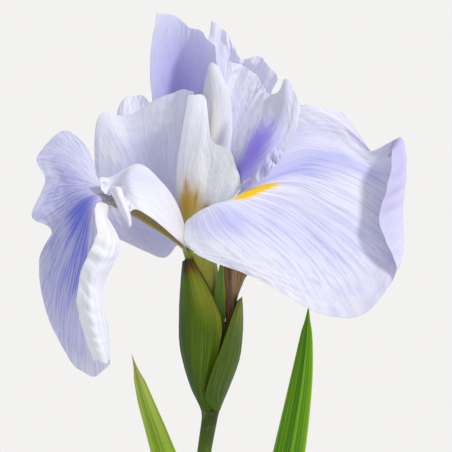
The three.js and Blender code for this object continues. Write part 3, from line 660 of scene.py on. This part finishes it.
            [3, 5.5, 23.5,  4.5, 13, 43.5,  5.5, 18.5, 59.5,  4.5, 21, 74.5],
            [1, 7.5, 23,  0.5, 17, 43.5,  1, 21.5, 59.5,  3.5, 22, 72.5],
        ],
    },
    # two crest lobes and a crinkled lower margin, stained purple up its middle
    "style_right": {
        "seat": ((322, 2.15 * seatStep), (368, 2.3 * seatStep)), "grid": (170, 130), "seed": 71,
        "colour": tone(226, 226, 243),
        "ruffle": (4, 0.5, 5, 0.5), "scallops": (6, 0.02), "ribs": (44, 0.07), "midrib": 0.4,
        "thickness": (0.35, 0.9), "crinkle": 0.1,
        "folds": [("left", 14, 0.82, 1.5, (0.24, 0.66)), ("left", 27, 0.88, 0.5, (0.24, 0.7))],
        "tints": [
            (lavender, [(0.46, 0.35, 0.24, 0.5, 0, 0.75)]), (petalWhite, [(0.3, 0.05, 0.1, 0.15, 0, 0.8)]),
            greenSeat(0.08, 0.8),
        ],
        "veinSpots": [(0.5, 0.4, 0.25, 0.4, 0, 0.5)],
        "stainAndShade": [(0.42, 0.4, 0.2, 0.32, 0.4, 0.8), (0.62, 0.5, 0.16, 0.25, 0.3, 0.5)],
        "veinBase": 0.3,
        "veins": [
            [11.5, -4, 20.5,  25.5, -15.5, 29,  37, -14, 44.5,  40.5, -8, 57],
            [11, -4, 22,  25, -13, 39,  34, -9, 53,  35.5, -2, 69],
            [10.5, -4, 22.5,  21, -8, 39.5,  27.5, -4, 51.5,  30.5, 1, 62.5],
            [9, -2.5, 24,  17.5, -3, 40,  23, 1, 53,  27, 5, 62.5],
            [7.5, -1, 25,  13, 1, 40,  18.5, 5, 55,  24.5, 8, 64],
        ],
    },
}

# a small tongue that hangs from the crest of the left style arm
crestTongue = {
    "grid": (60, 36), "seed": 73, "colour": petalWhite, "ruffle": (1, 0.6, 4, 0.3), "scallops": (3, 0.03),
    "ribs": (10, 0.06), "thickness": (0.5, 0.9), "crinkle": 0.06, "veinBase": 0.2,
    "veins": [
        [-34.5, -17.5, 25,  -32.8, -21, 20.5,  -30, -22.5, 15,  -27.8, -22.5, 11.5],
        [-32.5, -19, 26,  -30.5, -22.8, 21,  -28, -23.8, 15,  -27, -23, 10.5],
        [-30.3, -18, 25.5,  -28.6, -21.5, 20.5,  -26.6, -22.8, 15.2,  -26.2, -22.5, 11.5],
    ],
}

finishes = {
    "wide": petalFinish("petal_wide", 130, lavender, yellow, deepLavender),
    "narrow": petalFinish("petal_narrow", 70, lavender, yellow, deepLavender),
    "blue": petalFinish("petal_blue", 130, tone(140, 146, 220), yellow, deepBlue),
    "gold": petalFinish("petal_gold", 60, lavender, gold, deepLavender),
    "purple": petalFinish("style_purple", 80, lavender, gold, tone(158, 138, 244)),
}
finishOf = {"fall_right": "wide", "fall_left": "blue", "petaloid_front": "gold", "style_right": "purple"}
for name, spec in petals.items():
    material = finishes[finishOf.get(name, "narrow")]
    sheetPiece(name, spec, tubeTop, petalSeatRise, flowerScale, material)
sheetPiece(
    "style_left_tongue", crestTongue, tubeTop, petalSeatRise, flowerScale, finishes["narrow"],
    node="style_left",
)
print("petals done")

# the valves sit flush with the stem's side, the bracts one valve and one clearance inside them
spatheThickness = 0.8
spatheSeatRise = -0.5
spatheScale = 1  # the valves and bracts are drawn at their real size, whatever the bloom's
spatheSeat = stemHalves[-1, 0] - spatheThickness / 2
bractSeat = spatheSeat - (spatheThickness + sheetGap)
deepGreen = tone(30, 66, 2)
midGreen = tone(88, 120, 10)
yellowGreen = tone(172, 170, 54)
darkBrown = tone(44, 18, 8)
rustBrown = tone(120, 62, 28)
tan = tone(140, 108, 66)

greens = {
    "spathe_outer": {
        "seat": ((95, spatheSeat), (282, spatheSeat)), "grid": (160, 130), "seed": 83, "colour": midGreen,
        "ruffle": (1, 0, 8, 0.1), "scallops": (6, 0.008), "ribs": (40, 0.06), "crinkle": 0.05,
        "thickness": (0.45, 0.9),
        "tints": [
            # the valve's own greens, laid darker on its left as painted shade and yellow-green on its upper
            # right and right margin as painted light
            (deepGreen, [(0.4, 0.25, 0.5, 0.3, 0, 0.85), (0, 0.5, 0.25, 1.5, 0, 0.6)]),
            (yellowGreen, [(0.82, 0.78, 0.2, 0.16, 0, 0.8), (0.55, 0.97, 0.3, 0.06, 0, 0.6)]),
            (rustBrown, [(0.96, 0.7, 0.055, 0.5, 0, 1), (0.8, 1, 0.16, 0.035, 0, 0.9)]),
            (darkBrown, [(1.02, 0.6, 0.05, 0.7, 0, 1.1), (0.95, 0.45, 0.06, 0.12, 0, 1),
                         (0.86, 1, 0.13, 0.03, 0, 1.1), (0.93, 0.05, 0.08, 0.1, 0, 0.9)]),
        ],
        "veins": [
            [-4.5, 6, 7.5,  -6.5, 9, 23,  -7.5, 8, 36,  -9, 6, 48.5,  -11, 3, 59],
            [-8, 1, 9,  -12, 1, 23.5,  -12.5, 1, 36,  -12, 1, 48,  -11, -1, 59.5],
            [-6, -6, 9,  -8, -9, 25,  -8.5, -9, 37.5,  -9.5, -7, 48.5,  -10, -5, 60.5],
            [-3, -7.5, 9.5,  -1.5, -10.5, 25,  -1.5, -10.5, 37,  -5, -8.5, 49,  -9, -6, 61],
            [-0.5, -6.5, 9.5,  3.5, -9, 25,  4.5, -9, 36,  0, -7.5, 48.5,  -7.5, -6, 61],
        ],
    },
    "spathe_inner": {
        "seat": ((292, spatheSeat), (442, spatheSeat)), "grid": (140, 110), "seed": 89,
        "colour": tone(88, 114, 36),
        "ruffle": (1, 0, 8, 0.1), "scallops": (6, 0.008), "ribs": (36, 0.06), "crinkle": 0.05,
        "thickness": (0.45, 0.9),
        "tints": [
            (deepGreen, [(0.2, 0.2, 0.3, 0.3, 0, 0.5)]),
            (yellowGreen, [(0.95, 0.3, 0.14, 0.3, 0, 0.4)]),
            (rustBrown, [(1, 0.3, 0.04, 0.3, 0, 0.9)]),
        ],
        "veins": [
            [-2, -9, 5.5,  0.2, -11.8, 15,  5, -12.2, 28,  11.2, -8, 45],
            [1.8, -8.8, 7.5,  5, -11.4, 17.5,  8.8, -11, 30,  12, -6.5, 45.3],
            [5.6, -5.8, 8.5,  9.5, -7, 19,  11.8, -5.5, 32,  12.5, -3.5, 45.5],
            [7.6, 0, 9.5,  11.5, 0.5, 21,  12.7, 1, 33,  12.5, 0.5, 45],
            [6, 5, 9.5,  8.5, 7, 22,  10, 7, 33,  11, 4.5, 43.5],
            [2, 7.5, 9,  3, 9.5, 21,  5, 9.5, 31,  8, 7, 41],
        ],
    },
    "bract_inner": {
        "seat": ((262, bractSeat), (314, bractSeat)), "grid": (140, 50), "seed": 97,
        "colour": tone(96, 132, 50),
        "ruffle": (1, 0, 8, 0.05), "scallops": (4, 0.01), "ribs": (16, 0.05), "crinkle": 0.04,
        "thickness": (0.4, 0.8),
        "tints": [
            (yellowGreen, [(0.8, 0.9, 0.2, 0.2, 0, 0.6)]),
            (rustBrown, [(1, 0.5, 0.06, 0.9, 0, 1)]),
        ],
        "veins": [
            [-1, -4.2, 10,  -0.5, -5, 24.5,  0.5, -5.5, 40.5,  2.8, -5.6, 54,  4, -5.2, 59.5],
            [1, -4.1, 10,  3, -4.5, 24.5,  4, -5, 40.5,  4.5, -5, 52.5,  4.5, -5, 60],
            [2.7, -3.2, 9.5,  4.5, -3.5, 23.5,  6, -4, 39.5,  5.5, -5, 52.5,  5, -5, 59.5],
        ],
    },
    "bract_withered": {
        "seat": ((330, bractSeat), (400, bractSeat)), "grid": (140, 70), "seed": 101, "colour": tan,
        "ruffle": (2, 0, 4, 0.35), "scallops": (8, 0.04), "ribs": (24, 0.12), "crinkle": 0.2,
        "thickness": (0.35, 0.7),
        "tints": [
            (tone(96, 118, 48), [(0.2, 0.5, 0.3, 1, 0, 0.8)]),
            (rustBrown, [(0.6, 0.1, 0.3, 0.15, 0, 0.5), (0.62, 0.9, 0.05, 0.2, 0, 0.8)]),
            (tone(170, 140, 100), [(0.85, 0.5, 0.15, 0.3, 0, 0.5)]),
        ],
        "veins": [
            [3.5, -2, 10,  6, -2.3, 26,  5.4, -2.4, 42.5,  4, -2.8, 58],
            [4.5, 1.5, 9.5,  9, 0, 26,  9.4, -1.4, 42,  10.5, -3.6, 60],
            [3.5, 4.5, 9,  7.3, 4.3, 25.5,  9.8, 3.6, 41.5,  16, 0.4, 56.5],
        ],
    },
}
spatheMaterial = greenFinish("spathe", tone(36, 70, 10), tone(140, 162, 60), 80, 0.45)
dryMaterial = greenFinish("dry_bract", tone(88, 62, 38), tone(186, 160, 122), 40, 0.7)
for name, spec in greens.items():
    material = dryMaterial if name == "bract_withered" else spatheMaterial
    sheetPiece(name, spec, stemTop, spatheSeatRise, spatheScale, material)
print("spathes and bracts done")


def ringFaces(rows, cols, poles):
    # quads between rings of cols points; poles closes both ends on one point each
    i, j = np.meshgrid(np.arange(rows - 1), np.arange(cols), indexing="ij")
    a, b = (i * cols + j).ravel(), (i * cols + (j + 1) % cols).ravel()
    faces = np.stack([a, b, b + cols, a + cols], 1).tolist()
    ring = np.arange(cols)
    after = np.roll(ring, -1)
    top = (rows - 1) * cols
    faces += np.stack([np.full(cols, poles[0]), after, ring], 1).tolist()
    faces += np.stack([np.full(cols, poles[1]), top + ring, top + after], 1).tolist()
    return faces


def closedRings(x, y, z, ends):
    # points of the rings and of the two poles that close them, and the faces between
    rings = np.stack([x, y, np.broadcast_to(z, x.shape)], -1).reshape(-1, 3)
    faces = ringFaces(*x.shape, (len(rings), len(rings) + 1))
    return np.concatenate([rings, ends]), faces


def roundPiece(name, spec, middles, radii, material):
    # rings along the frame's own middles, each ring's radius waved by a few lengthwise ribs
    rows, cols = 180, 64
    at = np.linspace(0, 1, rows)
    rise = middles[0, 2] + (middles[-1, 2] - middles[0, 2]) * at
    middle, radius = through(middles[:, 2], middles, rise), through(middles[:, 2], radii[:, None], rise)[:, 0]
    turn = np.linspace(0, 2 * np.pi, cols, endpoint=False)
    count, height = spec["ribs"]
    reach = radius[:, None] + height * np.cos(count * turn + 3 * np.sin(turn))[None, :]
    x = middle[:, :1] + reach * np.cos(turn)
    y = middle[:, 1:2] + reach * np.sin(turn)
    points, faces = closedRings(x, y, middle[:, 2:3], [middle[0], middle[-1] + [0, 0, spec["capRise"]]])
    colours = catmull(np.array([tone(*colour)[:3] for colour in spec["tints"]]), at)
    tint = np.concatenate([np.repeat(colours, cols, axis=0), colours[[0, -1]]])
    return addPiece(name, points, faces, material, name, {"tint": tint})


def rodFinish(name, darkColour, lightColour):
    # long streaks up a round stalk, with a faint waxy bloom
    f = Finish(name)
    along = f.noise(f.place().stretch(1.0, 1.0, 0.04), 900.0, 3.0, 0.6)
    bloom = f.noise(f.place(), 220.0, 3.0, 0.6)
    colour = f.mix(along.step(0.5, 0.7) * 0.5, f.painted("tint"), darkColour)
    colour = f.mix(bloom.step(0.5, 0.8) * 0.3, colour, lightColour)
    return f.finish(
        Base_Color=colour, Roughness=0.36 + bloom * 0.2, Normal=f.bump(along, 0.35, 0.2),
        Subsurface_Weight=0.08, Subsurface_Radius=(0.5, 1.0, 0.2), Subsurface_Scale=0.0015,
        Specular_IOR_Level=0.3,
    )


stalkMaterial = rodFinish("stalk", tone(62, 92, 24), tone(168, 182, 110))
stem = {
    "ribs": (18, 0.035), "capRise": 0,
    "tints": [(160, 182, 90), (136, 166, 52), (122, 154, 30), (120, 150, 22), (40, 64, 0)],
}
floralTube = {
    "ribs": (6, 0.16), "capRise": 0.9,
    "tints": [(92, 122, 30), (112, 128, 32), (134, 138, 40), (142, 140, 42), (168, 168, 62)],
}
roundPiece("stem", stem, stemMiddles, stemHalves[:, 0], stalkMaterial)
roundPiece("floral_tube", floralTube, tubeMiddles, tubeHalves[:, 0], stalkMaterial)
print("stem and tube done")

leafFoot = (150, 178, 92)
leafTipRise = 0.8
leafShape = {
    "leaf_left": {
        "fold": 0.3, "crease": -0.25, "keel": 0.3, "tip": tone(196, 170, 110), "tipShare": 0.06, "seed": 5,
        "blade": [(150, 200, 34), (150, 196, 28), (226, 232, 120)],
    },
    "leaf_right": {
        "fold": -0.14, "crease": 0.1, "keel": 0.4, "tip": tone(120, 150, 40), "tipShare": 0.01, "seed": 7,
        "blade": [(92, 146, 14), (84, 138, 8), (88, 136, 8)],
    },
}


def leafPiece(name, spec, material):
    # blade section: x = width cos a, y = thickness |sin a|^1.4 on each side, with a keel and fine ribs,
    # bent to a shallow V at its crease; width and thickness shrink to a point over the last twentieth
    rows, cols = 320, 72
    middles, halves = levelRings(name)
    at = np.linspace(0, 1, rows)
    rise = middles[0, 2] + (middles[-1, 2] - middles[0, 2]) * at
    middle = through(middles[:, 2], middles, rise)
    half = np.maximum(through(middles[:, 2], halves, rise), 0.02)
    end = np.minimum((1 - at) * 22, 1)[:, None] ** 0.7
    turn = np.linspace(0, 2 * np.pi, cols, endpoint=False)[None, :]
    across = np.cos(turn) * np.ones((rows, 1))
    width, thickness = half[:, :1] * (0.04 + 0.96 * end), half[:, 1:2] * (0.15 + 0.85 * end)
    flat = np.sign(np.sin(turn)) * np.abs(np.sin(turn)) ** 1.4
    ribs = 0.05 * np.cos(across * 46) * ease(thickness)
    fromCrease = across - spec["crease"]
    keel = spec["keel"] * np.exp(-(fromCrease / 0.1) ** 2) * thickness
    sway = 0.35 * wander(spec["seed"], 7, 0, (rows, 2))[:, :1] * end
    x = middle[:, :1] + width * across
    y = middle[:, 1:2] + thickness * flat * 0.8 + np.sign(flat) * (keel + ribs)
    y = y + spec["fold"] * width * (0.5 - np.abs(fromCrease)) + sway
    points, faces = closedRings(x, y, middle[:, 2:3], [middle[0], middle[-1] + [0, 0, leafTipRise]])
    t = np.broadcast_to(at[:, None], x.shape)
    blade = np.array([tone(*colour)[:3] for colour in (leafFoot, leafFoot, *spec["blade"])])
    tint = np.repeat(catmull(blade, at)[:, None], cols, axis=1)
    for colour, amount in [
        (tone(60, 116, 16), np.exp(-((fromCrease + 0.22) / 0.2) ** 2) * 0.5),
        (tone(60, 116, 16), np.exp(-((fromCrease - 0.3) / 0.12) ** 2) * 0.35),
        (tone(170, 200, 64), ease((across - 0.66) * 3) * 0.8),
        (tone(150, 190, 60), ease((-across - 0.86) * 7) * 0.6),
        (tone(146, 190, 58), np.exp(-(fromCrease / 0.05) ** 2) * 0.6),
        (spec["tip"], ease((t - 1 + spec["tipShare"]) / spec["tipShare"])),
    ]:
        tint = blend(tint, colour, amount)
    tint = np.concatenate([tint.reshape(-1, 3), tint[[0, -1], 0]])
    place = np.stack([(across + 1) / 2, t], -1).reshape(-1, 2)
    place = np.concatenate([place, [[0.5, 0], [0.5, 1]]])
    return addPiece(name, points, faces, material, name, {"tint": tint}, place)


leafMaterial = greenFinish("leaf", tone(56, 112, 14), tone(150, 196, 56), 26, 0.5)
for name, spec in leafShape.items():
    leafPiece(name, spec, leafMaterial)
print("leaves done")

vase = {
    "footRadius": 29, "bellyHeight": 52, "mouthRadius": 22, "wall": 4, "floor": 6, "rimFlare": 1.5,
    "lowerShare": 0.38, "lowerSwell": 1, "upperSwell": 1.5, "neckShare": 0.9,
    "footRing": 3.2, "footRecess": 1.4, "rings": 26, "ringHeight": 0.12,
}


def vasePiece(spec):
    # one outline turned about the upright axis: foot ring, belly, neck, rounded rim, inside and floor
    low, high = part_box("vase")
    height, belly = high.z / mm, high.x / mm
    neck = spec["mouthRadius"] + spec["wall"]
    controls = np.array([
        [spec["footRadius"], 0],
        [(spec["footRadius"] + belly) / 2 + spec["lowerSwell"], spec["bellyHeight"] * spec["lowerShare"]],
        [belly, spec["bellyHeight"]],
        [(belly + neck) / 2 + spec["upperSwell"], (spec["bellyHeight"] + height) / 2],
        [neck, height * spec["neckShare"]],
        [neck + spec["rimFlare"], height - spec["wall"] / 2],
    ])
    outside = catmull(controls, np.linspace(0, 1, 150))
    rise = outside[:, 1] / height
    rings = np.sin(rise * 2 * np.pi * spec["rings"] + 2 * np.sin(rise * 9)) * spec["ringHeight"]
    outside[:, 0] += rings * ease(rise * 8) * ease((1 - rise) * 10) - spec["ringHeight"]
    inside = outside[outside[:, 1] > spec["floor"] + spec["wall"]][::-1] - [spec["wall"], 0]
    bend = np.radians(np.linspace(0, 180, 15)[1:-1])
    rim = outside[-1] + spec["wall"] / 2 * np.stack([np.cos(bend) - 1, np.sin(bend)], 1)
    round90 = np.radians(np.linspace(0, 90, 9))
    corner = inside[-1, 0] - spec["wall"] + spec["wall"] * np.cos(round90)
    cove = np.stack([corner, inside[-1, 1] - spec["wall"] * np.sin(round90)], 1)[1:]
    footIn = spec["footRadius"] - spec["footRing"]
    floorPart = np.linspace(1, 0, 12)[1:, None] * [[cove[-1, 0], 0]] + [[0, cove[-1, 1]]]
    under = np.array([[footIn * share, spec["footRecess"]] for share in np.linspace(0, 0.97, 10)[1:]])
    foot = np.array([[footIn, 0.4], [footIn + 0.4, 0], [spec["footRadius"] - 0.5, 0]])
    edge = np.array([[spec["footRadius"] - 0.12, 0.15]])
    profile = np.concatenate([under, foot, edge, outside[1:], rim, inside, cove, floorPart[:-1]])
    cols = 160
    turn = np.linspace(0, 2 * np.pi, cols, endpoint=False)
    x = profile[:, :1] * np.cos(turn)
    y = profile[:, :1] * np.sin(turn)
    poles = [[0, 0, spec["footRecess"]], [0, 0, cove[-1, 1]]]
    points, faces = closedRings(x, y, profile[:, 1:], poles)
    return addPiece("vase", points, faces, glazeFinish(), "vase")


def glazeFinish():
    # satin off-white glaze: warmer where it is thin, finely speckled, bare clay at the foot
    f = Finish("vase_glaze")
    place = f.place()
    height = f.node("ShaderNodeSeparateXYZ", {}, {0: place}).out(2)
    cloud = f.noise(place, 28.0, 4.0, 0.55)
    fleck = f.noise(place, 900.0, 1.0)
    pit = f.noise(place, 420.0, 3.0, 0.6)
    throw = f.noise(place.stretch(0.15, 0.15, 1.0), 240.0, 2.0)
    colour = f.mix(cloud.step(0.35, 0.7), tone(232, 226, 214), tone(243, 240, 233))
    colour = f.mix(fleck.step(0.7, 0.78) * 0.6, colour, tone(150, 126, 98))
    bare = 1 - (height + (cloud - 0.5) * 0.003).step(0.0022, 0.0036)
    colour = f.mix(bare, colour, tone(196, 170, 138))
    relief = f.bump(throw * 0.7 + pit * 0.3, 0.3, 0.5)
    return f.finish(
        Base_Color=colour, Roughness=0.22 + cloud * 0.12 + bare * 0.45, Normal=relief,
        Coat_Weight=0.25 * (1 - bare), Coat_Roughness=0.12, Specular_IOR_Level=0.5,
    )


vasePiece(vase)
print("vase done")


def floorPiece(radius, sides):
    # a flat pale disc with a faint cloud in its paint
    mesh = bpy.data.meshes.new("floor")
    turn = np.linspace(0, 2 * np.pi, sides, endpoint=False)
    ring = np.stack([radius * np.cos(turn), radius * np.sin(turn), np.zeros(sides)], 1)
    mesh.from_pydata((ring * mm).tolist(), [], [list(range(sides))])
    f = Finish("floor")
    cloud = f.noise(f.place(), 3.0, 3.0)
    colour = f.mix(cloud, tone(236, 235, 233), tone(242, 241, 239))
    mesh.materials.append(f.finish(Base_Color=colour, Roughness=0.9))
    addObject("floor", mesh)


def studioWorld(seen, fill, strength):
    # the backdrop as the camera sees it, and a cooler, dimmer sky for everything else
    world = bpy.data.worlds.new("studio")
    world.use_nodes = True
    nodes, links = world.node_tree.nodes, world.node_tree.links
    backdrop = nodes["Background"]
    backdrop.inputs["Color"].default_value = seen
    light = nodes.new("ShaderNodeBackground")
    light.inputs["Color"].default_value = fill
    light.inputs["Strength"].default_value = strength
    path, mixed = nodes.new("ShaderNodeLightPath"), nodes.new("ShaderNodeMixShader")
    links.new(path.outputs["Is Camera Ray"], mixed.inputs[0])
    links.new(light.outputs[0], mixed.inputs[1])
    links.new(backdrop.outputs[0], mixed.inputs[2])
    links.new(mixed.outputs[0], nodes["World Output"].inputs["Surface"])
    bpy.context.scene.world = world


def softLight(name, direction, distance, size, power, colour, target):
    # a round lamp at a distance from the target, turned to face it
    data = bpy.data.lights.new(name, "AREA")
    data.shape, data.size, data.energy, data.color = "DISK", size * mm, power, colour
    lamp = addObject(name, data)
    away = Vector(direction).normalized()
    lamp.location = (target + away * distance) * mm
    lamp.rotation_euler = away.to_track_quat("Z", "Y").to_euler()


def studioCamera(target, distance, elevation, frameWidth):
    # lens length = sensor width x distance / width of the view at the target
    data = bpy.data.cameras.new("camera")
    data.sensor_width = 36
    data.lens = data.sensor_width * distance / frameWidth
    data.clip_end = 20
    camera = addObject("camera", data)
    tilt = np.radians(elevation)
    away = Vector((0, -np.cos(tilt), np.sin(tilt)))
    camera.location = (target + away * distance) * mm
    camera.rotation_euler = away.to_track_quat("Z", "Y").to_euler()
    bpy.context.scene.camera = camera


bloomMiddle = Vector((-10, 0, 290))
floorPiece(radius=1150, sides=96)
studioWorld(seen=tone(243, 242, 241), fill=(0.92, 0.94, 1.0, 1), strength=0.62)
softLight(
    "key", direction=(0.72, -0.42, 0.72), distance=1600, size=260, power=15,
    colour=(1.0, 0.98, 0.95), target=bloomMiddle,
)
softLight(
    "rim", direction=(0.25, 0.8, 0.75), distance=1500, size=600, power=4,
    colour=(1.0, 0.99, 0.97), target=bloomMiddle,
)
studioCamera(target=Vector((-3.6, 0, 280.4)), distance=1200, elevation=4, frameWidth=180.8)
bpy.context.scene.view_settings.view_transform = "Standard"
print("studio done")
